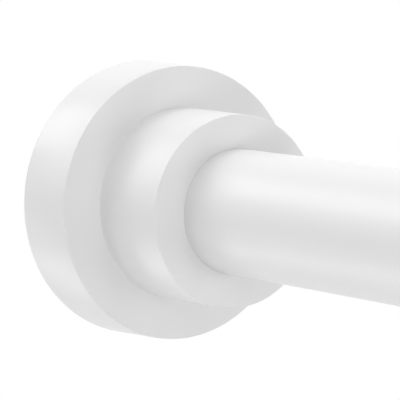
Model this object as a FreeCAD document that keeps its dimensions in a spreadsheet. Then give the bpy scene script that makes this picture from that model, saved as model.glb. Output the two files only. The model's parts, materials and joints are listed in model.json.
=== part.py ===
import FreeCAD, Part
import math
import os
import Sketcher
from types import SimpleNamespace

# Spring tension rod: two telescoping steel tubes with a twist lock and a spring
# inside, and a padded moulded end on each. X runs along the rod, Z is up, and the
# origin is the middle of the left pad's contact face. Millimetres throughout.

V = FreeCAD.Vector
doc = FreeCAD.newDocument("TensionRod")

# Driving dimensions
SIZES = {
    # the rod pushed together, from wall face to wall face
    "rest_length": 700.0,
    # from the outer tube's mouth to the wall face that the inner tube serves
    "exposed_rod_length": 80.0,
    "outer_tube_diameter": 25.0,
    "tube_wall": 0.8,
    # between the outer tube's bore and the inner tube
    "tube_gap": 0.7,
    # end cover: a large disc and a collar in one moulding
    "flange_diameter": 57.0,
    "flange_depth": 15.0,
    "collar_diameter": 39.0,
    "collar_length": 20.0,
    "cover_wall": 2.2,
    "flange_edge_round": 0.65,
    "collar_edge_round": 0.3,
    "collar_base_round": 0.6,
    "cover_tube_clearance": 0.05,
    # the cover's rim stands off the wall, so that only the pad touches it
    "rim_gap": 0.5,
    # base plug and its pad
    "pad_thickness": 2.5,
    "pad_inset": 0.3,
    "pad_ring_count": 4,
    "pad_ring_pitch": 5.0,
    "pad_ring_width": 1.6,
    "pad_ring_depth": 0.6,
    "base_thickness": 3.0,
    "base_clearance": 0.2,
    "hub_length": 22.0,
    "hub_wall": 2.5,
    "hub_lead": 1.0,
    "plug_clearance": 0.05,
    # cover screws and their bosses
    "screw_count": 3,
    "screw_diameter": 3.0,
    "screw_length": 7.5,
    "screw_head_diameter": 5.5,
    "screw_head_height": 1.6,
    "screw_head_inset": 0.2,
    "screw_tip": 0.6,
    "screw_tip_gap": 0.7,
    "thread_clearance": 0.02,
    "screw_hole_clearance": 0.2,
    "head_pocket_clearance": 0.3,
    "recess_depth": 0.9,
    "recess_reach": 1.5,
    "recess_width": 0.7,
    "boss_diameter": 6.0,
    "boss_gap": 0.3,
    # rolled pins through tube and plug
    "pin_diameter": 3.0,
    "pin_wall": 0.6,
    "pin_slit": 0.4,
    "pin_clearance": 0.02,
    "pin_short": 0.3,
    "plug_pin_setback": 5.5,
    # guide ring in the outer tube's mouth
    "guide_length": 14.0,
    "guide_lip": 2.5,
    "guide_overhang": 0.4,
    "guide_edge": 0.6,
    "guide_clearance": 0.1,
    # spindle
    "spindle_hub_gap": 0.5,
    "thread_diameter": 6.0,
    "thread_end": 0.5,
    "journal_diameter": 7.0,
    "journal_lead": 3.5,
    "journal_play": 0.2,
    "journal_clearance": 0.1,
    "shoulder_diameter": 16.0,
    "shoulder_thickness": 3.0,
    "hexagon_flats": 8.0,
    "tail_diameter": 5.0,
    "tail_end": 1.0,
    "bore_clearance": 0.05,
    # nuts and the open clip
    "end_nut_flats": 10.0,
    "end_nut_thickness": 3.0,
    "tail_nut_flats": 8.0,
    "tail_nut_thickness": 4.0,
    "clip_diameter": 10.6,
    "clip_thickness": 1.0,
    "clip_groove_depth": 0.75,
    "clip_groove_play": 0.05,
    "clip_opening": 4.6,
    # cone nut and split sleeve
    "cone_gap": 0.5,
    "cone_length": 16.0,
    "cone_lead": 1.0,
    "cone_slope": 0.176,
    "cone_clearance": 0.32,
    "cone_travel": 1.5,
    "cone_run_out": 2.5,
    "sleeve_clearance": 0.2,
    "sleeve_length": 30.0,
    "sleeve_mouth_wall": 2.5,
    "sleeve_web": 5.0,
    "finger_count": 4,
    "finger_slot": 1.6,
    "finger_root": 2.0,
    "key_clearance": 0.15,
    "key_height_gap": 0.9,
    "key_end_gap": 1.2,
    # rubber ring that drags in the outer tube
    "drag_ring_section": 1.6,
    "drag_ring_fit": 0.05,
    "drag_groove_play": 0.2,
    "drag_groove_setback": 2.5,
    # bush in the inner tube's hidden end
    "bush_collar_length": 5.0,
    "bush_length": 18.0,
    "bush_glide_clearance": 0.25,
    "bush_fit": 0.05,
    "hexagon_clearance": 0.15,
    "bush_pin_depth": 4.0,
    # spring, its seat and its stop
    "spring_travel": 25.0,
    "travel_spare": 0.8,
    "seat_gap": 0.1,
    "seat_thickness": 2.0,
    "seat_clearance": 0.3,
    "spring_length": 75.0,
    "spring_mean_diameter": 17.0,
    "spring_wire": 2.0,
    "spring_turns": 13,
    "coil_gap": 0.05,
    "stop_length": 12.0,
    "nose_length": 4.0,
    "nose_clearance": 0.3,
}

sheet = doc.addObject("Spreadsheet::Sheet", "Sizes")
for row, (alias, number) in enumerate(SIZES.items(), 1):
    sheet.set(f"A{row}", alias)
    sheet.set(f"B{row}", str(number))
    sheet.setAlias(f"B{row}", alias)
doc.recompute()


class Length:
    """A length together with the sheet formula that gives it."""

    def __init__(self, number, formula):
        self.number = float(number)
        self.formula = formula

    def combine(self, sign, other, number):
        return Length(number, f"({self.formula} {sign} {other.formula})")

    def __add__(self, other):
        other = as_length(other)
        return self.combine("+", other, self.number + other.number)

    def __sub__(self, other):
        other = as_length(other)
        return self.combine("-", other, self.number - other.number)

    def __mul__(self, other):
        other = as_length(other)
        return self.combine("*", other, self.number * other.number)

    def __truediv__(self, other):
        other = as_length(other)
        return self.combine("/", other, self.number / other.number)

    def __neg__(self):
        return ZERO - self


def as_length(value):
    return value if isinstance(value, Length) else Length(value, repr(float(value)))


ZERO = Length(0, "0")
size = SimpleNamespace(**{alias: Length(getattr(sheet, alias), f"Sizes.{alias}") for alias in SIZES})

# Radii of the tubes
tube_radius = size.outer_tube_diameter / 2
tube_bore = tube_radius - size.tube_wall
rod_radius = tube_bore - size.tube_gap
rod_bore = rod_radius - size.tube_wall
pin_radius = size.pin_diameter / 2
pin_hole = pin_radius + size.pin_clearance

# End set, measured from its own wall face
flange_radius = size.flange_diameter / 2
flange_cavity = flange_radius - size.cover_wall
flange_front = size.rim_gap + size.flange_depth
collar_radius = size.collar_diameter / 2
collar_cavity = collar_radius - size.cover_wall
collar_front = flange_front + size.collar_length
base_radius = flange_cavity - size.base_clearance
base_front = size.pad_thickness + size.base_thickness
hub_front = base_front + size.hub_length
plug_pin_place = hub_front - size.plug_pin_setback
boss_radius = size.boss_diameter / 2
boss_circle = flange_cavity - size.boss_gap - boss_radius
head_back = size.pad_thickness + size.screw_head_inset
head_seat = head_back + size.screw_head_height
screw_end = head_seat + size.screw_length

# Twist lock, measured from the left wall face
spindle_start = hub_front + size.spindle_hub_gap
end_nut_start = spindle_start + size.thread_end
cone_start = end_nut_start + size.end_nut_thickness + size.cone_gap
sleeve_start = cone_start + size.cone_lead
web_start = sleeve_start + size.sleeve_length - size.sleeve_web
clip_start = web_start - size.journal_play - size.clip_thickness
shoulder_start = sleeve_start + size.sleeve_length + size.journal_play
hexagon_start = shoulder_start + size.shoulder_thickness
sleeve_radius = tube_bore - size.sleeve_clearance
sleeve_mouth = sleeve_radius - size.sleeve_mouth_wall
cone_bore_length = size.cone_length - size.cone_lead + size.cone_travel + size.cone_run_out
sleeve_throat = sleeve_mouth - size.cone_slope * cone_bore_length

# Inner tube and spring, measured from the left wall face
bush_start = hexagon_start + size.spring_travel + size.travel_spare
rod_start = bush_start + size.bush_collar_length
bush_end = rod_start + size.bush_length
bush_pin_place = rod_start + size.bush_length / 2
seat_start = bush_end + size.seat_gap
tail_nut_start = seat_start + size.seat_thickness
spindle_end = tail_nut_start + size.tail_nut_thickness + size.tail_end
stop_start = tail_nut_start + size.spring_length + size.coil_gap * 2
stop_pin_place = stop_start + size.stop_length / 2
rod_end = size.rest_length - base_front
tube_end = size.rest_length - size.exposed_rod_length
bush_pin_inner = rod_bore - size.bush_pin_depth

bodies = []


def new_body(label, place=ZERO, faces_back=False):
    """A sub-part whose own x = 0 lies at place, turned to face the left wall on request."""
    body = doc.addObject("PartDesign::Body", label.title().replace("_", ""))
    body.Label = label
    turn = FreeCAD.Rotation(V(0, 0, 1), 180 if faces_back else 0)
    body.Placement = FreeCAD.Placement(V(place.number, 0, 0), turn)
    body.setExpression(".Placement.Base.x", place.formula)
    bodies.append(body)
    return body


def origin_part(body, role):
    return [part for part in body.Origin.OriginFeatures if part.Role == role][0]


def new_sketch(body, name, plane, offset=ZERO):
    sketch = body.newObject("Sketcher::SketchObject", name)
    sketch.AttachmentSupport = (origin_part(body, plane), [""])
    sketch.MapMode = "FlatFace"
    sketch.AttachmentOffset = FreeCAD.Placement(V(0, 0, offset.number), FreeCAD.Rotation())
    sketch.setExpression(".AttachmentOffset.Base.z", offset.formula)
    return sketch


def bind(sketch, constraint, length):
    number = sketch.addConstraint(constraint)
    sketch.setExpression(f"Constraints[{number}]", length.formula)


def fix_point(sketch, geometry, point, x, y):
    bind(sketch, Sketcher.Constraint("DistanceX", geometry, point, x.number), x)
    bind(sketch, Sketcher.Constraint("DistanceY", geometry, point, y.number), y)


def add_line(sketch, start, end, construction=False):
    points = [V(x.number, y.number, 0) for x, y in (start, end)]
    return sketch.addGeometry(Part.LineSegment(*points), construction)


def add_outline(sketch, points):
    """A closed outline of straight lines, every corner fixed by the sheet."""
    following = points[1:] + points[:1]
    lines = [add_line(sketch, start, end) for start, end in zip(points, following)]
    for line, after, (x, y) in zip(lines, lines[1:] + lines[:1], points):
        sketch.addConstraint(Sketcher.Constraint("Coincident", line, 2, after, 1))
        fix_point(sketch, line, 1, x, y)


def add_circle(sketch, x, y, radius):
    centre = V(x.number, y.number, 0)
    circle = sketch.addGeometry(Part.Circle(centre, V(0, 0, 1), radius.number), False)
    fix_point(sketch, circle, 3, x, y)
    bind(sketch, Sketcher.Constraint("Radius", circle, radius.number), radius)


def rectangle(left, right, low, high):
    return [(left, low), (right, low), (right, high), (left, high)]


def hexagon(flats):
    """Six corners of a hexagon given by the distance across its flats."""
    corner = flats / math.sqrt(3)
    angles = [math.radians(60 * step) for step in range(6)]
    return [(corner * math.cos(angle), corner * math.sin(angle)) for angle in angles]


def turn_outline(body, name, points, axis_height=None):
    """Turns an outline of (x, radius) points about the rod's axis or a line parallel to it."""
    sketch = new_sketch(body, name + "Profile", "XZ_Plane")
    axis = "H_Axis"
    if axis_height is not None:
        ends = (ZERO, axis_height), (size.screw_length, axis_height)
        line = add_line(sketch, *ends, construction=True)
        for point, (x, y) in enumerate(ends, 1):
            fix_point(sketch, line, point, x, y)
        axis = "Axis0"
        points = [(x, axis_height + radius) for x, radius in points]
    add_outline(sketch, points)
    feature = body.newObject("PartDesign::Revolution", name)
    feature.Profile = sketch
    feature.ReferenceAxis = (sketch, [axis])
    feature.Angle = 360
    return feature


def extrude(body, kind, name, sketch, length, both_ways=False):
    """A Pad or Pocket along the sketch's normal, or equally to both sides of its plane."""
    feature = body.newObject(f"PartDesign::{kind}", name)
    feature.Profile = sketch
    feature.Length = length.number
    feature.setExpression("Length", length.formula)
    if both_ways:
        feature.SideType = "Symmetric"
    else:
        feature.Reversed = kind == "Pocket"
    return feature


def repeat_round(body, name, features, count):
    """Copies features evenly about the rod's axis."""
    pattern = body.newObject("PartDesign::PolarPattern", name)
    pattern.Originals = features
    pattern.Axis = (origin_part(body, "X_Axis"), [""])
    pattern.Angle = 360
    pattern.Occurrences = round(count.number)
    pattern.setExpression("Occurrences", count.formula)
    body.Tip = pattern
    return pattern


def round_edge(body, name, base, place, edge_radius, rounding):
    """Rounds the circular edge that lies at a place and radius on a turned piece."""
    doc.recompute()
    names = []
    for number, edge in enumerate(base.Shape.Edges, 1):
        if edge.Curve.TypeId != "Part::GeomCircle":
            continue
        centre = edge.Curve.Center
        if abs(centre.x - place.number) < 0.001 and abs(edge.Curve.Radius - edge_radius.number) < 0.001:
            names.append(f"Edge{number}")
    fillet = body.newObject("PartDesign::Fillet", name)
    fillet.Base = (base, names)
    fillet.Radius = rounding.number
    fillet.setExpression("Radius", rounding.formula)
    return fillet


def drill_across(body, name, place, through):
    """A pin hole along Z through both sides of a piece."""
    sketch = new_sketch(body, name + "Circle", "XY_Plane")
    add_circle(sketch, place, ZERO, pin_hole)
    return extrude(body, "Pocket", name, sketch, through, both_ways=True)


def flange_cover(label, hole_for, place=ZERO, faces_back=False):
    """Shell of the disc and the collar, with three bosses behind the disc's face."""
    body = new_body(label, place, faces_back)
    hole = hole_for + size.cover_tube_clearance
    disc_inside = flange_front - size.cover_wall
    collar_inside = collar_front - size.cover_wall
    shell = turn_outline(body, "Shell", [
        (size.rim_gap, flange_cavity),
        (size.rim_gap, flange_radius),
        (flange_front, flange_radius),
        (flange_front, collar_radius),
        (collar_front, collar_radius),
        (collar_front, hole),
        (collar_inside, hole),
        (collar_inside, collar_cavity),
        (disc_inside, collar_cavity),
        (disc_inside, flange_cavity),
    ])
    disc_round = round_edge(body, "DiscRound", shell, flange_front, flange_radius, size.flange_edge_round)
    collar_round = round_edge(body, "CollarRound", disc_round, collar_front, collar_radius,
                              size.collar_edge_round)
    round_edge(body, "BaseRound", collar_round, flange_front, collar_radius, size.collar_base_round)
    boss_sketch = new_sketch(body, "BossCircle", "YZ_Plane", base_front)
    add_circle(boss_sketch, ZERO, boss_circle, boss_radius)
    boss = extrude(body, "Pad", "Boss", boss_sketch, disc_inside - base_front)
    hole_sketch = new_sketch(body, "BossHoleCircle", "YZ_Plane", base_front)
    add_circle(hole_sketch, ZERO, boss_circle, size.screw_diameter / 2 + size.thread_clearance)
    hole_depth = screw_end + size.screw_tip_gap - base_front
    boss_hole = extrude(body, "Pocket", "BossHole", hole_sketch, hole_depth)
    repeat_round(body, "Bosses", [boss, boss_hole], size.screw_count)


def base_plug(label, bore, place=ZERO, faces_back=False):
    """Disc against the pad and a cored hub that fits the bore of the tube."""
    body = new_body(label, place, faces_back)
    hub_radius = bore - size.plug_clearance
    core = hub_radius - size.hub_wall
    turn_outline(body, "Moulding", [
        (size.pad_thickness, core),
        (size.pad_thickness, base_radius),
        (base_front, base_radius),
        (base_front, hub_radius),
        (hub_front - size.hub_lead, hub_radius),
        (hub_front, hub_radius - size.hub_lead),
        (hub_front, ZERO),
        (hub_front - size.hub_wall, ZERO),
        (hub_front - size.hub_wall, core),
    ])
    drill_across(body, "PinHole", plug_pin_place, bore * 3)
    head_sketch = new_sketch(body, "HeadPocketCircle", "YZ_Plane", size.pad_thickness)
    head_pocket_radius = size.screw_head_diameter / 2 + size.head_pocket_clearance
    add_circle(head_sketch, ZERO, boss_circle, head_pocket_radius)
    head_pocket = extrude(body, "Pocket", "HeadPocket", head_sketch, head_seat - size.pad_thickness)
    hole_sketch = new_sketch(body, "ScrewHoleCircle", "YZ_Plane", size.pad_thickness)
    add_circle(hole_sketch, ZERO, boss_circle, size.screw_diameter / 2 + size.screw_hole_clearance)
    screw_hole = extrude(body, "Pocket", "ScrewHole", hole_sketch, size.base_thickness)
    repeat_round(body, "ScrewPlaces", [head_pocket, screw_hole], size.screw_count)


def wall_pad(label, place=ZERO, faces_back=False):
    """Rubber disc with ring grooves in the face that presses on the wall."""
    body = new_body(label, place, faces_back)
    edge = base_radius - size.pad_inset
    points = [(ZERO, ZERO)]
    for ring in range(1, round(size.pad_ring_count.number) + 1):
        middle = size.pad_ring_pitch * ring
        inner = middle - size.pad_ring_width / 2
        outer = middle + size.pad_ring_width / 2
        points += [(ZERO, inner), (size.pad_ring_depth, inner), (size.pad_ring_depth, outer), (ZERO, outer)]
    points += [(ZERO, edge), (size.pad_thickness, edge), (size.pad_thickness, ZERO)]
    turn_outline(body, "Rubber", points)


def cover_screws(label, place=ZERO, faces_back=False):
    """Three screws with a cross recess in the head."""
    body = new_body(label, place, faces_back)
    head_radius = size.screw_head_diameter / 2
    shank_radius = size.screw_diameter / 2
    screw = turn_outline(body, "Screw", [
        (head_back, ZERO),
        (head_back, head_radius),
        (head_seat, head_radius),
        (head_seat, shank_radius),
        (screw_end - size.screw_tip, shank_radius),
        (screw_end, shank_radius - size.screw_tip),
        (screw_end, ZERO),
    ], axis_height=boss_circle)
    reach = size.recess_reach
    half = size.recess_width / 2
    recess_sketch = new_sketch(body, "RecessOutline", "YZ_Plane", head_back)
    cross = [(half, half), (half, reach), (-half, reach), (-half, half), (-reach, half), (-reach, -half)]
    cross += [(-half, -half), (-half, -reach), (half, -reach), (half, -half), (reach, -half), (reach, half)]
    add_outline(recess_sketch, [(x, boss_circle + y) for x, y in cross])
    recess = extrude(body, "Pocket", "Recess", recess_sketch, size.recess_depth)
    repeat_round(body, "Screws", [screw, recess], size.screw_count)


def rolled_pin(label, through_radius, place):
    """Rolled sheet pin with a slit, its ends just under the tube's surface."""
    body = new_body(label, place)
    length = (through_radius - size.pin_short) * 2
    ring_sketch = new_sketch(body, "RollCircles", "XY_Plane")
    add_circle(ring_sketch, ZERO, ZERO, pin_radius)
    add_circle(ring_sketch, ZERO, ZERO, pin_radius - size.pin_wall)
    extrude(body, "Pad", "Roll", ring_sketch, length, both_ways=True)
    slit_sketch = new_sketch(body, "SlitOutline", "XY_Plane")
    half_slit = size.pin_slit / 2
    add_outline(slit_sketch, rectangle(ZERO, size.pin_diameter, -half_slit, half_slit))
    extrude(body, "Pocket", "Slit", slit_sketch, length * 2, both_ways=True)


def outer_tube():
    body = new_body("outer_tube")
    turn_outline(body, "Tube", rectangle(base_front, tube_end, tube_bore, tube_radius))
    drill_across(body, "PlugPinHole", plug_pin_place, size.outer_tube_diameter * 2)


def inner_tube():
    body = new_body("inner_tube")
    turn_outline(body, "Tube", rectangle(rod_start, rod_end, rod_bore, rod_radius))
    through = size.outer_tube_diameter * 2
    drill_across(body, "BushPinHoles", bush_pin_place, through)
    drill_across(body, "StopPinHole", stop_pin_place, through)
    drill_across(body, "PlugPinHole", size.rest_length - plug_pin_place, through)


def guide_ring():
    """Thin sleeve between the two tubes, with a lip over the outer tube's end."""
    body = new_body("guide_ring", tube_end)
    bore = rod_radius + size.guide_clearance
    lip_radius = tube_radius + size.guide_overhang
    turn_outline(body, "Moulding", [
        (-size.guide_length, bore),
        (-size.guide_length, tube_bore - size.plug_clearance),
        (ZERO, tube_bore - size.plug_clearance),
        (ZERO, lip_radius),
        (size.guide_lip - size.guide_edge, lip_radius),
        (size.guide_lip, lip_radius - size.guide_edge),
        (size.guide_lip, bore),
    ])


def expander_sleeve():
    """Fingers round a conical bore, a web with the spindle's bearing, a groove for the drag ring."""
    body = new_body("expander_sleeve", sleeve_start)
    web = size.sleeve_length - size.sleeve_web
    bearing = size.journal_diameter / 2 + size.journal_clearance
    ring_middle = size.sleeve_length - size.drag_groove_setback
    groove_half = size.drag_ring_section / 2 + size.drag_groove_play
    groove_floor = tube_bore - size.drag_ring_fit - size.drag_ring_section - size.drag_ring_fit
    turn_outline(body, "Moulding", [
        (ZERO, sleeve_mouth),
        (ZERO, sleeve_radius),
        (ring_middle - groove_half, sleeve_radius),
        (ring_middle - groove_half, groove_floor),
        (ring_middle + groove_half, groove_floor),
        (ring_middle + groove_half, sleeve_radius),
        (size.sleeve_length, sleeve_radius),
        (size.sleeve_length, bearing),
        (web, bearing),
        (web, sleeve_throat),
        (cone_bore_length, sleeve_throat),
    ])
    slot_sketch = new_sketch(body, "SlotOutline", "YZ_Plane")
    half_slot = size.finger_slot / 2
    add_outline(slot_sketch, rectangle(-half_slot, half_slot, bearing, tube_radius))
    slot = extrude(body, "Pocket", "Slot", slot_sketch, web - size.finger_root)
    repeat_round(body, "Slots", [slot], size.finger_count)


def drag_ring():
    body = new_body("drag_ring", sleeve_start + size.sleeve_length - size.drag_groove_setback)
    sketch = new_sketch(body, "Section", "XZ_Plane")
    section_radius = size.drag_ring_section / 2
    add_circle(sketch, ZERO, tube_bore - size.drag_ring_fit - section_radius, section_radius)
    ring = body.newObject("PartDesign::Revolution", "Ring")
    ring.Profile = sketch
    ring.ReferenceAxis = (sketch, ["H_Axis"])
    ring.Angle = 360


def wedge_cone():
    """Cone nut whose keys run in the sleeve's slots, so that it slides without turning."""
    body = new_body("wedge_cone", cone_start)
    bore = size.thread_diameter / 2 + size.bore_clearance
    large = sleeve_mouth - size.cone_clearance + size.cone_slope * size.cone_lead
    small = large - size.cone_slope * size.cone_length
    turn_outline(body, "Cone", [
        (ZERO, bore),
        (ZERO, large),
        (size.cone_length, small),
        (size.cone_length, bore),
    ])
    key_sketch = new_sketch(body, "KeyOutline", "YZ_Plane", size.key_end_gap)
    half_key = size.finger_slot / 2 - size.key_clearance
    key_top = sleeve_radius - size.key_height_gap
    add_outline(key_sketch, rectangle(-half_key, half_key, (bore + small) / 2, key_top))
    key = extrude(body, "Pad", "Key", key_sketch, size.cone_length - size.key_end_gap * 2)
    repeat_round(body, "Keys", [key], size.finger_count)


def lock_spindle():
    """Thread, journal with a clip groove, shoulder, hexagon bar and threaded tail."""
    body = new_body("lock_spindle", spindle_start)
    thread = size.thread_diameter / 2
    journal = size.journal_diameter / 2
    groove_floor = journal - size.clip_groove_depth
    groove_left = clip_start - size.clip_groove_play - spindle_start
    groove_right = clip_start + size.clip_thickness + size.clip_groove_play - spindle_start
    journal_start = clip_start - size.journal_lead - spindle_start
    shoulder_left = shoulder_start - spindle_start
    shoulder_right = hexagon_start - spindle_start
    hexagon_end = seat_start - spindle_start
    tail = size.tail_diameter / 2
    length = spindle_end - spindle_start
    turn_outline(body, "Turning", [
        (ZERO, ZERO),
        (ZERO, thread - size.thread_end),
        (size.thread_end, thread),
        (journal_start, thread),
        (journal_start, journal),
        (groove_left, journal),
        (groove_left, groove_floor),
        (groove_right, groove_floor),
        (groove_right, journal),
        (shoulder_left, journal),
        (shoulder_left, size.shoulder_diameter / 2),
        (shoulder_right, size.shoulder_diameter / 2),
        (shoulder_right, tail),
        (length - size.thread_end, tail),
        (length, tail - size.thread_end),
        (length, ZERO),
    ])
    bar_sketch = new_sketch(body, "BarOutline", "YZ_Plane", shoulder_right)
    add_outline(bar_sketch, hexagon(size.hexagon_flats))
    extrude(body, "Pad", "Bar", bar_sketch, hexagon_end - shoulder_right)


def hexagon_nut(label, place, flats, thickness, thread_diameter):
    body = new_body(label, place)
    sketch = new_sketch(body, "NutOutline", "YZ_Plane")
    add_outline(sketch, hexagon(flats))
    add_circle(sketch, ZERO, ZERO, thread_diameter / 2 + size.bore_clearance)
    extrude(body, "Pad", "Nut", sketch, thickness)


def sleeve_retaining_clip():
    """Flat open ring in the journal's groove."""
    body = new_body("sleeve_retaining_clip", clip_start)
    groove_floor = size.journal_diameter / 2 - size.clip_groove_depth
    sketch = new_sketch(body, "ClipCircles", "YZ_Plane")
    add_circle(sketch, ZERO, ZERO, size.clip_diameter / 2)
    add_circle(sketch, ZERO, ZERO, groove_floor + size.bore_clearance)
    extrude(body, "Pad", "Clip", sketch, size.clip_thickness)
    opening_sketch = new_sketch(body, "OpeningOutline", "YZ_Plane")
    half_opening = size.clip_opening / 2
    add_outline(opening_sketch, rectangle(-half_opening, half_opening, -size.clip_diameter, ZERO))
    extrude(body, "Pocket", "Opening", opening_sketch, size.clip_thickness)


def spring_seat():
    body = new_body("spring_seat", seat_start)
    hole = size.tail_diameter / 2 + size.bore_clearance
    turn_outline(body, "Washer", rectangle(ZERO, size.seat_thickness, hole, rod_bore - size.seat_clearance))


def compression_spring():
    """Round wire wound to fill the room between the seat and the stop."""
    body = new_body("compression_spring", tail_nut_start + size.coil_gap)
    wire_radius = size.spring_wire / 2
    sketch = new_sketch(body, "WireSection", "XZ_Plane")
    add_circle(sketch, wire_radius, size.spring_mean_diameter / 2, wire_radius)
    height = size.spring_length - size.spring_wire
    pitch = height / size.spring_turns
    coil = body.newObject("PartDesign::AdditiveHelix", "Coil")
    coil.Profile = sketch
    coil.ReferenceAxis = (sketch, ["H_Axis"])
    coil.Mode = "pitch-height-angle"
    coil.setExpression("Pitch", pitch.formula)
    coil.setExpression("Height", height.formula)
    coil.HasBeenEdited = True


def rod_bush():
    """Collar that glides in the outer tube and an insert in the inner one, with a hexagon bore."""
    body = new_body("rod_bush", bush_start)
    insert_radius = rod_bore - size.bush_fit
    length = size.bush_collar_length + size.bush_length
    turn_outline(body, "Moulding", [
        (ZERO, ZERO),
        (ZERO, tube_bore - size.bush_glide_clearance),
        (size.bush_collar_length, tube_bore - size.bush_glide_clearance),
        (size.bush_collar_length, insert_radius),
        (length, insert_radius),
        (length, ZERO),
    ])
    bore_sketch = new_sketch(body, "BoreOutline", "YZ_Plane")
    add_outline(bore_sketch, hexagon(size.hexagon_flats + size.hexagon_clearance * 2))
    extrude(body, "Pocket", "Bore", bore_sketch, length)
    hole_sketch = new_sketch(body, "PinHoleCircle", "XY_Plane", bush_pin_inner - size.bore_clearance)
    add_circle(hole_sketch, bush_pin_place - bush_start, ZERO, pin_hole)
    hole = extrude(body, "Pocket", "PinHole", hole_sketch, rod_radius)
    repeat_round(body, "PinHoles", [hole], Length(2, "2"))


def bush_pins():
    """Two short pins, one from each side, which stop short of the hexagon bore."""
    body = new_body("bush_pins", bush_pin_place)
    sketch = new_sketch(body, "PinCircle", "XY_Plane", bush_pin_inner)
    add_circle(sketch, ZERO, ZERO, pin_radius)
    pin = extrude(body, "Pad", "Pin", sketch, rod_radius - size.pin_short - bush_pin_inner)
    repeat_round(body, "Pins", [pin], Length(2, "2"))


def spring_stop():
    """Plug with a nose that centres the spring."""
    body = new_body("spring_stop", stop_start)
    nose_radius = size.spring_mean_diameter / 2 - size.spring_wire / 2 - size.nose_clearance
    plug_radius = rod_bore - size.plug_clearance
    turn_outline(body, "Turning", [
        (-size.nose_length, ZERO),
        (-size.nose_length, nose_radius),
        (ZERO, nose_radius),
        (ZERO, plug_radius),
        (size.stop_length, plug_radius),
        (size.stop_length, ZERO),
    ])
    drill_across(body, "PinHole", size.stop_length / 2, size.outer_tube_diameter * 2)


def end_set(name, held_radius, held_bore, place=ZERO, faces_back=False):
    """Cover, plug, pad, screws and pin of one end."""
    flange_cover(f"flange_cover_{name}", held_radius, place, faces_back)
    base_plug(f"base_plug_{name}", held_bore, place, faces_back)
    wall_pad(f"wall_pad_{name}", place, faces_back)
    cover_screws(f"cover_screws_{name}", place, faces_back)
    pin_place = place - plug_pin_place if faces_back else plug_pin_place
    rolled_pin(f"plug_pin_{name}", held_radius, pin_place)


def check_model():
    """Every object is up to date, every cut removes material, every sub-part is a valid solid."""
    for item in doc.Objects:
        if "Invalid" in item.State or "Error" in item.State:
            raise RuntimeError(f"{item.Label} failed: {item.State}")
        if item.TypeId == "PartDesign::Pocket":
            removed = item.BaseFeature.Shape.Volume - item.Shape.Volume
            if removed < 0.01:
                raise RuntimeError(f"{item.Label} cuts nothing")
    for body in bodies:
        shape = body.Shape
        if shape.isNull() or not shape.isValid() or not shape.Solids:
            raise RuntimeError(f"{body.Label} is not a valid solid")


end_set("fixed", tube_radius, tube_bore)
outer_tube()
guide_ring()
expander_sleeve()
drag_ring()
wedge_cone()
lock_spindle()
hexagon_nut("spindle_end_nut", end_nut_start, size.end_nut_flats, size.end_nut_thickness,
            size.thread_diameter)
sleeve_retaining_clip()
spring_seat()
hexagon_nut("tail_nut", tail_nut_start, size.tail_nut_flats, size.tail_nut_thickness,
            size.tail_diameter)
compression_spring()
inner_tube()
rod_bush()
bush_pins()
spring_stop()
rolled_pin("stop_pin", rod_radius, stop_pin_place)
end_set("sliding", rod_radius, rod_bore, size.rest_length, faces_back=True)

doc.recompute()
check_model()
os.makedirs("parts", exist_ok=True)
for body in bodies:
    body.Shape.exportStep(f"parts/{body.Label}.step")
    box = body.Shape.optimalBoundingBox(False)
    print(f"{body.Label:24} solids {len(body.Shape.Solids)} volume {body.Shape.Volume:10.2f}"
          f" x {box.XMin:8.2f} {box.XMax:8.2f}")
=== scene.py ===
import json
import math

import bpy
from mathutils import Matrix, Vector


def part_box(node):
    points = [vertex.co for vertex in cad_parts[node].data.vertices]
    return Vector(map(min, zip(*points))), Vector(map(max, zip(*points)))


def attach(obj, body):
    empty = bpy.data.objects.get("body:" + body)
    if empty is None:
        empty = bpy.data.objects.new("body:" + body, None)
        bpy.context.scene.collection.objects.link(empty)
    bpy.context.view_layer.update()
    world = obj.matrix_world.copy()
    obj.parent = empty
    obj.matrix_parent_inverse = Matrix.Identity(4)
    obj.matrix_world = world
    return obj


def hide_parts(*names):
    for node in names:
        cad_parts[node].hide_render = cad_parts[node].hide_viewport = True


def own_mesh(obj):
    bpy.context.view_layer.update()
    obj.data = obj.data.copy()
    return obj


# White spring tension rod: the visible mouldings, tubes, pads and the spring are made here
# with fine rounded edges, and the other parts keep their solids. Metres throughout.

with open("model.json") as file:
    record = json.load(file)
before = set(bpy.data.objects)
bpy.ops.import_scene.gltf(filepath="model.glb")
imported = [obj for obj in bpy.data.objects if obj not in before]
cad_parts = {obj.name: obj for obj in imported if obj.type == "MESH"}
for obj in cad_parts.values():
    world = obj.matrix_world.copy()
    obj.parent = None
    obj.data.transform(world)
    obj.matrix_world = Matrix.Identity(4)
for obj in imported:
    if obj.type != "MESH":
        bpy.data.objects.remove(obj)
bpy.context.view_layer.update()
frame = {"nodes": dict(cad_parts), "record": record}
nodes = frame["nodes"]
record = frame["record"]

MM = 0.001
SEGMENTS = 192
ROUND_STEPS = 5
SHARP_ANGLE = math.radians(40)

# Sizes read from the solids
cover_low, cover_high = (Vector(corner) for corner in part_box("flange_cover_fixed"))
tube_low, tube_high = (Vector(corner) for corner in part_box("outer_tube"))
rod_low, rod_high = (Vector(corner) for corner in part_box("inner_tube"))
ring_low, ring_high = (Vector(corner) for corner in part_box("guide_ring"))
spring_low, spring_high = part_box("compression_spring")
pad_high = Vector(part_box("wall_pad_fixed")[1])
REST_LENGTH = Vector(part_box("wall_pad_sliding")[1]).x
TUBE_RADIUS = tube_high.z
ROD_RADIUS = rod_high.z
RIM = cover_low.x
DISC_RADIUS = cover_high.z
COLLAR_FRONT = cover_high.x
PAD_THICKNESS = pad_high.x
PAD_RADIUS = pad_high.z
RING_RADIUS = ring_high.z

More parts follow.
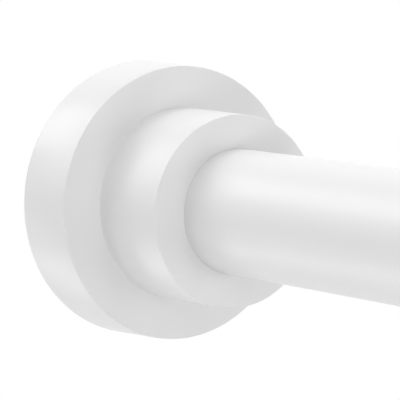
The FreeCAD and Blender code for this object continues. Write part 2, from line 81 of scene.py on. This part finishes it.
# Covers: TAPER is how much a side narrows towards its front
COLLAR_LENGTH = 20.0 * MM
DISC_FRONT = COLLAR_FRONT - COLLAR_LENGTH
COLLAR_RADIUS = 19.5 * MM
COVER_WALL = 2.2 * MM
DISC_TAPER = 0.5 * MM
DISC_ROUND = 0.15 * MM
COLLAR_FOOT_ROUND = 0.15 * MM
COLLAR_TAPER = 0.15 * MM
COLLAR_ROUND = 0.12 * MM
RIM_ROUND = 0.4 * MM
HOLE_ROUND = 0.05 * MM

# Screw bosses in the covers
BOSS_COUNT = 3
BOSS_CIRCLE = 23.0 * MM
BOSS_RADIUS = 3.0 * MM
BOSS_START = 5.5 * MM
BOSS_HOLE_RADIUS = 1.52 * MM
BOSS_HOLE_DEPTH = 7.0 * MM
BOSS_SEGMENTS = 48
BOSS_OVERLAP = 0.5 * MM

# Pads, with ring grooves in the wall face
PAD_MIDDLE_SHARE = 0.25
PAD_ROUND = 0.5 * MM
PAD_RING_PITCH = 5.0 * MM
PAD_RING_WIDTH = 1.6 * MM
PAD_RING_DEPTH = 0.6 * MM
PAD_RING_COUNT = 4
PAD_RING_ROUND = 0.2 * MM

# Tubes and the guide ring in the outer tube's mouth
TUBE_WALL = 0.8 * MM
TUBE_EDGE_ROUND = 0.15 * MM
RING_ROUND = 0.6 * MM
RING_EDGE_ROUND = 0.1 * MM
RING_CLEARANCE = 0.1 * MM
RING_BORE = ROD_RADIUS + RING_CLEARANCE

# Spring
SPRING_MEAN_RADIUS = 8.5 * MM
SPRING_WIRE_RADIUS = 1.0 * MM
SPRING_TURNS = 13
SPRING_CLOSED_TURNS = 1.0
SPRING_CLOSED_PITCH = 2 * SPRING_WIRE_RADIUS * 1.02
SPRING_STEPS = 40
SPRING_SIDES = 12

# The photograph's view, fitted to the edges of the disc, the collar and the tube
VIEW_AZIMUTH = math.radians(56.275)
VIEW_ELEVATION = math.radians(5.884)
VIEW_DISTANCE = 602.898 * MM
VIEW_RIGHT = 12.17 * MM
VIEW_UP = -0.682 * MM
VIEW_FOCUS_PIXELS = 2891.0
FRAME_PIXELS = 400
SENSOR_WIDTH = 36.0
CLIP_START = 0.01
CLIP_END = 50.0

# Finishes: noise scales are per metre
TONE_SCALE = 60.0
TONE_DETAIL = 3.0
GLOSS_SCALE = 250.0
GLOSS_DETAIL = 2.0
GRAIN_DETAIL = 1.0
SATIN_SPECULAR = 0.3

# Studio
FLOOR_DROP = 2.0
FLOOR_SIZE = 12.0
FLOOR_COLOUR = (0.85, 0.85, 0.85, 1)
FLOOR_ROUGHNESS = 0.9
FLOOR_GLOW = 0.72
WORLD_STRENGTH = 0.268
LIGHT_DISTANCE = 2.4
LIGHT_WIDTH = 1.0
LIGHT_AIM = Vector((0.2, 0.0, 0.0))
# name, azimuth and elevation in degrees as the camera's are given, watts
LIGHTS = [
    ("back_left_high", -110.0, 60.0, 20.5),
    ("front_low", 45.0, -15.0, 13.3),
    ("right_low", 84.0, -35.0, 9.6),
    ("left_front_low", -32.0, -35.0, 8.4),
    ("right_back", 139.5, 5.0, 8.3),
    ("right_high", 84.0, 50.0, 8.2),
    ("top", 0.0, 88.0, 7.7),
    ("back_high", 180.0, 40.0, 7.4),
    ("left_high", -30.0, 50.0, 7.3),
    ("left_back", -70.0, 28.0, 6.5),
    ("front_high", 55.0, 30.0, 6.1),
    ("right_back_low", 135.0, -15.0, 5.6),
    ("front_level", 10.0, 30.0, 4.5),
    ("left_key", -49.5, 25.0, 4.4),
    ("right_back_high", 110.0, 30.0, 4.3),
    ("left_low", -70.7, -35.0, 3.8),
    ("left_level", -50.0, 12.0, 3.2),
    ("left_back_low", -70.0, -20.0, 1.5),
]


def direction(azimuth, elevation):
    """Unit vector from the object towards a camera or lamp at these angles."""
    flat = math.cos(elevation)
    return Vector((math.sin(azimuth) * flat, -math.cos(azimuth) * flat, math.sin(elevation)))


def rounded(corner, before, after, radius):
    """Points of an arc that rounds a corner of an outline between its two neighbours."""
    corner, before, after = Vector(corner), Vector(before), Vector(after)
    to_before = (before - corner).normalized()
    to_after = (after - corner).normalized()
    half_turn = to_before.angle(to_after) / 2
    reach = radius / math.tan(half_turn)
    centre = corner + (to_before + to_after).normalized() * (radius / math.sin(half_turn))
    first = corner + to_before * reach - centre
    last = corner + to_after * reach - centre
    sweep = first.angle_signed(last)
    points = []
    for step in range(ROUND_STEPS + 1):
        rotation = Matrix.Rotation(-sweep * step / ROUND_STEPS, 2)
        points.append(tuple(centre + rotation @ first))
    return points


def outline(corners):
    """An outline from (x, radius, rounding) corners, with arcs where rounding is above zero."""
    points = []
    count = len(corners)
    for index, (x, radius, rounding) in enumerate(corners):
        if rounding > 0:
            before = corners[index - 1][:2]
            after = corners[(index + 1) % count][:2]
            points += rounded((x, radius), before, after, rounding)
        else:
            points.append((x, radius))
    return points


def new_piece(name, vertices, faces, material):
    """A smooth-shaded mesh whose edges sharper than SHARP_ANGLE stay sharp."""
    mesh = bpy.data.meshes.new(name)
    mesh.from_pydata(vertices, [], faces)
    mesh.materials.append(material)
    mesh.update()
    piece = bpy.data.objects.new(name, mesh)
    bpy.context.collection.objects.link(piece)
    bpy.ops.object.select_all(action="DESELECT")
    piece.select_set(True)
    bpy.context.view_layer.objects.active = piece
    bpy.ops.object.shade_smooth_by_angle(angle=SHARP_ANGLE)
    return piece


def turn(points, closed=True, middle=(0.0, 0.0), segments=SEGMENTS):
    """Vertices and faces of an outline of (x, radius) points turned about an axis along X."""
    vertices = []
    for x, radius in points:
        for segment in range(segments):
            angle = 2 * math.pi * segment / segments
            y = middle[0] - radius * math.sin(angle)
            z = middle[1] + radius * math.cos(angle)
            vertices.append((x, y, z))
    rows = len(points)
    faces = []
    for row in range(rows if closed else rows - 1):
        following = (row + 1) % rows
        for segment in range(segments):
            after = (segment + 1) % segments
            faces.append((
                row * segments + segment,
                row * segments + after,
                following * segments + after,
                following * segments + segment,
            ))
    if not closed:
        faces.append(tuple(reversed(range(segments))))
        last = (rows - 1) * segments
        faces.append(tuple(range(last, last + segments)))
    return vertices, faces


def lathe(name, points, material, closed=True):
    """A piece turned about the rod's axis."""
    vertices, faces = turn(points, closed)
    return new_piece(name, vertices, faces, material)


def cover(name, shell_points, boss_points, material):
    """A turned shell with its screw bosses evenly round the rod's axis."""
    vertices, faces = turn(shell_points)
    for boss in range(BOSS_COUNT):
        angle = 2 * math.pi * boss / BOSS_COUNT
        middle = (-BOSS_CIRCLE * math.sin(angle), BOSS_CIRCLE * math.cos(angle))
        boss_vertices, boss_faces = turn(
            boss_points, closed=False, middle=middle, segments=BOSS_SEGMENTS)
        first = len(vertices)
        vertices += boss_vertices
        faces += [tuple(first + corner for corner in face) for face in boss_faces]
    return new_piece(name, vertices, faces, material)


def coil(name, start, end, material):
    """Round wire wound about the rod's axis, its first and last turns lying close."""
    open_turns = SPRING_TURNS - 2 * SPRING_CLOSED_TURNS
    height = end - start - 2 * SPRING_WIRE_RADIUS
    open_pitch = (height - 2 * SPRING_CLOSED_TURNS * SPRING_CLOSED_PITCH) / open_turns
    vertices = []
    rings = SPRING_TURNS * SPRING_STEPS + 1
    for ring in range(rings):
        turns = ring / SPRING_STEPS
        near = min(turns, SPRING_CLOSED_TURNS)
        far = max(0.0, turns - SPRING_CLOSED_TURNS - open_turns)
        middle = turns - near - far
        climb = (near + far) * SPRING_CLOSED_PITCH + middle * open_pitch
        along = start + SPRING_WIRE_RADIUS + climb
        angle = 2 * math.pi * turns
        for side in range(SPRING_SIDES):
            around = 2 * math.pi * side / SPRING_SIDES
            radius = SPRING_MEAN_RADIUS + SPRING_WIRE_RADIUS * math.cos(around)
            x = along + SPRING_WIRE_RADIUS * math.sin(around)
            vertices.append((x, -radius * math.sin(angle), radius * math.cos(angle)))
    faces = []
    for ring in range(rings - 1):
        for side in range(SPRING_SIDES):
            after = (side + 1) % SPRING_SIDES
            low = ring * SPRING_SIDES
            high = low + SPRING_SIDES
            faces.append((low + side, high + side, high + after, low + after))
    faces.append(tuple(range(SPRING_SIDES)))
    last = (rings - 1) * SPRING_SIDES
    faces.append(tuple(reversed(range(last, last + SPRING_SIDES))))
    return new_piece(name, vertices, faces, material)


def facing_back(points):
    """The same outline on the far end, which faces the other wall."""
    return [(REST_LENGTH - x, radius) for x, radius in reversed(points)]


def new_material(name):
    material = bpy.data.materials.new(name)
    material.use_nodes = True
    tree = material.node_tree
    return material, tree, tree.nodes["Principled BSDF"]


def noise(tree, position, scale, detail):
    node = tree.nodes.new("ShaderNodeTexNoise")
    node.inputs["Scale"].default_value = scale
    node.inputs["Detail"].default_value = detail
    tree.links.new(position, node.inputs["Vector"])
    return node.outputs["Fac"]


def spread(tree, value, low, high):
    """Maps a 0 to 1 value to a range."""
    node = tree.nodes.new("ShaderNodeMapRange")
    node.inputs["To Min"].default_value = low
    node.inputs["To Max"].default_value = high
    tree.links.new(value, node.inputs["Value"])
    return node.outputs["Result"]


def shades(tree, value, dark, light):
    """Colour between two shades by a 0 to 1 value."""
    node = tree.nodes.new("ShaderNodeMix")
    node.data_type = "RGBA"
    node.inputs["A"].default_value = (*dark, 1)
    node.inputs["B"].default_value = (*light, 1)
    tree.links.new(value, node.inputs["Factor"])
    return node.outputs["Result"]


def bump(tree, height, distance):
    node = tree.nodes.new("ShaderNodeBump")
    node.inputs["Strength"].default_value = 1.0
    node.inputs["Distance"].default_value = distance
    tree.links.new(height, node.inputs["Height"])
    return node.outputs["Normal"]


def slot_colour(slot):
    """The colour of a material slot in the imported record."""
    found = [entry for entry in record["materials"] if entry["slot"] == slot][0]
    return found["base_color"][:3]


def surface(name, slot, roughness, grain, grain_depth, tone, metallic=0.0, specular=0.5):
    """A finish with slight tone and gloss variation and a fine grain in its relief.

    grain is the size of the relief's grains and grain_depth their height, in metres;
    tone is how far the colour strays from the slot's, as a share of it.
    """
    material, tree, shader = new_material(name)
    position = tree.nodes.new("ShaderNodeTexCoord").outputs["Object"]
    colour = slot_colour(slot)
    dark = [channel * (1 - tone) for channel in colour]
    light = [min(1.0, channel * (1 + tone)) for channel in colour]
    clouds = noise(tree, position, TONE_SCALE, TONE_DETAIL)
    tree.links.new(shades(tree, clouds, dark, light), shader.inputs["Base Color"])
    patches = noise(tree, position, GLOSS_SCALE, GLOSS_DETAIL)
    tree.links.new(spread(tree, patches, *roughness), shader.inputs["Roughness"])
    fine = noise(tree, position, 1 / grain, GRAIN_DETAIL)
    tree.links.new(bump(tree, fine, grain_depth), shader.inputs["Normal"])
    shader.inputs["Metallic"].default_value = metallic
    shader.inputs["Specular IOR Level"].default_value = specular
    return material


moulding = surface(
    "white_moulding", "white_moulding", roughness=(0.27, 0.33),
    grain=0.6 * MM, grain_depth=0.002 * MM, tone=0.008, specular=SATIN_SPECULAR)
coat = surface(
    "white_coat", "white_tube", roughness=(0.31, 0.37),
    grain=0.9 * MM, grain_depth=0.004 * MM, tone=0.008, specular=SATIN_SPECULAR)
rubber = surface(
    "pad_rubber", "pad_rubber", roughness=(0.62, 0.78),
    grain=0.25 * MM, grain_depth=0.01 * MM, tone=0.05)
drag_rubber = surface(
    "drag_rubber", "drag_rubber", roughness=(0.6, 0.75),
    grain=0.2 * MM, grain_depth=0.008 * MM, tone=0.08)
nylon = surface(
    "inner_moulding", "inner_moulding", roughness=(0.4, 0.52),
    grain=0.4 * MM, grain_depth=0.004 * MM, tone=0.03)
steel = surface(
    "zinc_steel", "steel", roughness=(0.26, 0.42),
    grain=0.15 * MM, grain_depth=0.002 * MM, tone=0.1, metallic=1.0)
spring_steel = surface(
    "spring_steel", "spring_steel", roughness=(0.3, 0.45),
    grain=0.1 * MM, grain_depth=0.002 * MM, tone=0.12, metallic=1.0)

SLOT_MATERIALS = {
    "white_moulding": moulding,
    "white_tube": coat,
    "pad_rubber": rubber,
    "drag_rubber": drag_rubber,
    "inner_moulding": nylon,
    "steel": steel,
    "spring_steel": spring_steel,
}

for subpart in record["subparts"]:
    node = nodes[subpart["node"]]
    node.data.materials.clear()
    node.data.materials.append(SLOT_MATERIALS[subpart["material_slot"]])


def dress(piece, body, slot, *replaced):
    """Rides a piece on a body in place of CAD nodes."""
    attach(piece, body)
    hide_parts(*replaced)
    return piece


def cover_outline(held_radius):
    """Disc and collar in one shell with a hole for the tube: the outside, then the inside."""
    disc_inside = DISC_FRONT - COVER_WALL
    collar_inside = COLLAR_FRONT - COVER_WALL
    return outline([
        (RIM, DISC_RADIUS - COVER_WALL, RIM_ROUND),
        (RIM, DISC_RADIUS, RIM_ROUND),
        (DISC_FRONT, DISC_RADIUS - DISC_TAPER, DISC_ROUND),
        (DISC_FRONT, COLLAR_RADIUS, COLLAR_FOOT_ROUND),
        (COLLAR_FRONT, COLLAR_RADIUS - COLLAR_TAPER, COLLAR_ROUND),
        (COLLAR_FRONT, held_radius, HOLE_ROUND),
        (collar_inside, held_radius, 0),
        (collar_inside, COLLAR_RADIUS - COVER_WALL, 0),
        (disc_inside, COLLAR_RADIUS - COVER_WALL, 0),
        (disc_inside, DISC_RADIUS - COVER_WALL, 0),
    ])


def boss_outline():
    """Screw boss behind the disc's face, from the bottom of its hole outwards."""
    return [
        (BOSS_START + BOSS_HOLE_DEPTH, BOSS_HOLE_RADIUS),
        (BOSS_START, BOSS_HOLE_RADIUS),
        (BOSS_START, BOSS_RADIUS),
        (DISC_FRONT - COVER_WALL + BOSS_OVERLAP, BOSS_RADIUS),
    ]


def pad_outline():
    """Rubber disc with rounded ring grooves, from the middle of its wall face outwards."""
    corners = []
    for ring in range(1, PAD_RING_COUNT + 1):
        inner = PAD_RING_PITCH * ring - PAD_RING_WIDTH / 2
        outer = inner + PAD_RING_WIDTH
        corners += [
            (0.0, inner, PAD_RING_ROUND),
            (PAD_RING_DEPTH, inner, PAD_RING_ROUND),
            (PAD_RING_DEPTH, outer, PAD_RING_ROUND),
            (0.0, outer, PAD_RING_ROUND),
        ]
    corners += [(0.0, PAD_RADIUS, PAD_ROUND), (PAD_THICKNESS, PAD_RADIUS, 0)]
    middle = PAD_RING_PITCH * PAD_MIDDLE_SHARE
    first = [(0.0, middle, 0)]
    last = [(PAD_THICKNESS, middle, 0)]
    return outline(first + corners + last)


def tube_outline(start, end, radius):
    return outline([
        (start, radius - TUBE_WALL, TUBE_EDGE_ROUND),
        (start, radius, TUBE_EDGE_ROUND),
        (end, radius, TUBE_EDGE_ROUND),
        (end, radius - TUBE_WALL, TUBE_EDGE_ROUND),
    ])


cover_fixed = cover("cover_fixed", cover_outline(TUBE_RADIUS), boss_outline(), moulding)
dress(cover_fixed, "fixed_end", "white_moulding", "flange_cover_fixed")
cover_sliding = cover(
    "cover_sliding", facing_back(cover_outline(ROD_RADIUS)), facing_back(boss_outline()), moulding)
dress(cover_sliding, "sliding_end", "white_moulding", "flange_cover_sliding")

pad_fixed = lathe("pad_fixed", pad_outline(), rubber, closed=False)
dress(pad_fixed, "fixed_end", "pad_rubber", "wall_pad_fixed")
pad_sliding = lathe("pad_sliding", facing_back(pad_outline()), rubber, closed=False)
dress(pad_sliding, "sliding_end", "pad_rubber", "wall_pad_sliding")

tube = lathe("tube", tube_outline(tube_low.x, tube_high.x, TUBE_RADIUS), coat)
dress(tube, "fixed_end", "white_tube", "outer_tube")
rod = lathe("rod", tube_outline(rod_low.x, rod_high.x, ROD_RADIUS), coat)
dress(rod, "sliding_end", "white_tube", "inner_tube")

ring_outline = outline([
    (ring_low.x, RING_BORE, 0),
    (ring_low.x, TUBE_RADIUS - TUBE_WALL, 0),
    (tube_high.x, TUBE_RADIUS - TUBE_WALL, 0),
    (tube_high.x, RING_RADIUS, RING_EDGE_ROUND),
    (ring_high.x, RING_RADIUS, RING_ROUND),
    (ring_high.x, RING_BORE, RING_EDGE_ROUND),
])
mouth_ring = lathe("mouth_ring", ring_outline, moulding)
dress(mouth_ring, "fixed_end", "white_moulding", "guide_ring")

spring = coil("spring", spring_low[0], spring_high[0], spring_steel)
dress(spring, "sliding_end", "spring_steel", "compression_spring")
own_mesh(spring)


def make_camera():
    back = direction(VIEW_AZIMUTH, VIEW_ELEVATION)
    right = Vector((math.cos(VIEW_AZIMUTH), math.sin(VIEW_AZIMUTH), 0))
    up = back.cross(right)
    data = bpy.data.cameras.new("camera")
    data.sensor_width = SENSOR_WIDTH
    data.lens = SENSOR_WIDTH * VIEW_FOCUS_PIXELS / FRAME_PIXELS
    data.clip_start = CLIP_START
    data.clip_end = CLIP_END
    camera = bpy.data.objects.new("camera", data)
    place = Vector((RIM, 0, 0)) + back * VIEW_DISTANCE + right * VIEW_RIGHT + up * VIEW_UP
    facing = Matrix((right, up, back)).transposed().to_4x4()
    camera.matrix_world = Matrix.Translation(place) @ facing
    bpy.context.collection.objects.link(camera)
    bpy.context.scene.camera = camera


def make_light(name, azimuth, elevation, watts):
    data = bpy.data.lights.new(name, "AREA")
    data.shape = "DISK"
    data.size = LIGHT_WIDTH
    data.energy = watts
    lamp = bpy.data.objects.new(name, data)
    away = direction(math.radians(azimuth), math.radians(elevation))
    lamp.location = LIGHT_AIM + away * LIGHT_DISTANCE
    lamp.rotation_euler = away.to_track_quat("Z", "Y").to_euler()
    lamp.visible_camera = False
    bpy.context.collection.objects.link(lamp)


def seen_directly(tree):
    """1 for rays from the camera, mirror reflections and clear parts, otherwise 0."""
    path = tree.nodes.new("ShaderNodeLightPath")
    first = tree.nodes.new("ShaderNodeMath")
    first.operation = "MAXIMUM"
    second = tree.nodes.new("ShaderNodeMath")
    second.operation = "MAXIMUM"
    tree.links.new(path.outputs["Is Camera Ray"], first.inputs[0])
    tree.links.new(path.outputs["Is Glossy Ray"], first.inputs[1])
    tree.links.new(first.outputs[0], second.inputs[0])
    tree.links.new(path.outputs["Is Transmission Ray"], second.inputs[1])
    return second.outputs[0]


def make_world():
    world = bpy.data.worlds.new("studio")
    world.use_nodes = True
    tree = world.node_tree
    background = tree.nodes["Background"]
    background.inputs["Color"].default_value = (1, 1, 1, 1)
    strength = spread(tree, seen_directly(tree), WORLD_STRENGTH, 1.0)
    tree.links.new(strength, background.inputs["Strength"])
    bpy.context.scene.world = world


def make_floor():
    """Plain pale floor, well under the rod, that stays white around the rod's soft shadow."""
    half = FLOOR_SIZE / 2
    signs = ((-1, -1), (1, -1), (1, 1), (-1, 1))
    corners = [(x * half, y * half, -FLOOR_DROP) for x, y in signs]
    mesh = bpy.data.meshes.new("floor")
    mesh.from_pydata(corners, [], [(0, 1, 2, 3)])
    floor = bpy.data.objects.new("floor", mesh)
    bpy.context.collection.objects.link(floor)
    material, tree, shader = new_material("floor")
    shader.inputs["Base Color"].default_value = FLOOR_COLOUR
    shader.inputs["Roughness"].default_value = FLOOR_ROUGHNESS
    shader.inputs["Specular IOR Level"].default_value = 0.0
    shader.inputs["Emission Color"].default_value = (1, 1, 1, 1)
    glow = spread(tree, seen_directly(tree), 0.0, FLOOR_GLOW)
    tree.links.new(glow, shader.inputs["Emission Strength"])
    mesh.materials.append(material)


make_camera()
for lamp in LIGHTS:
    make_light(*lamp)
make_world()
make_floor()
bpy.context.scene.view_settings.view_transform = "Standard"
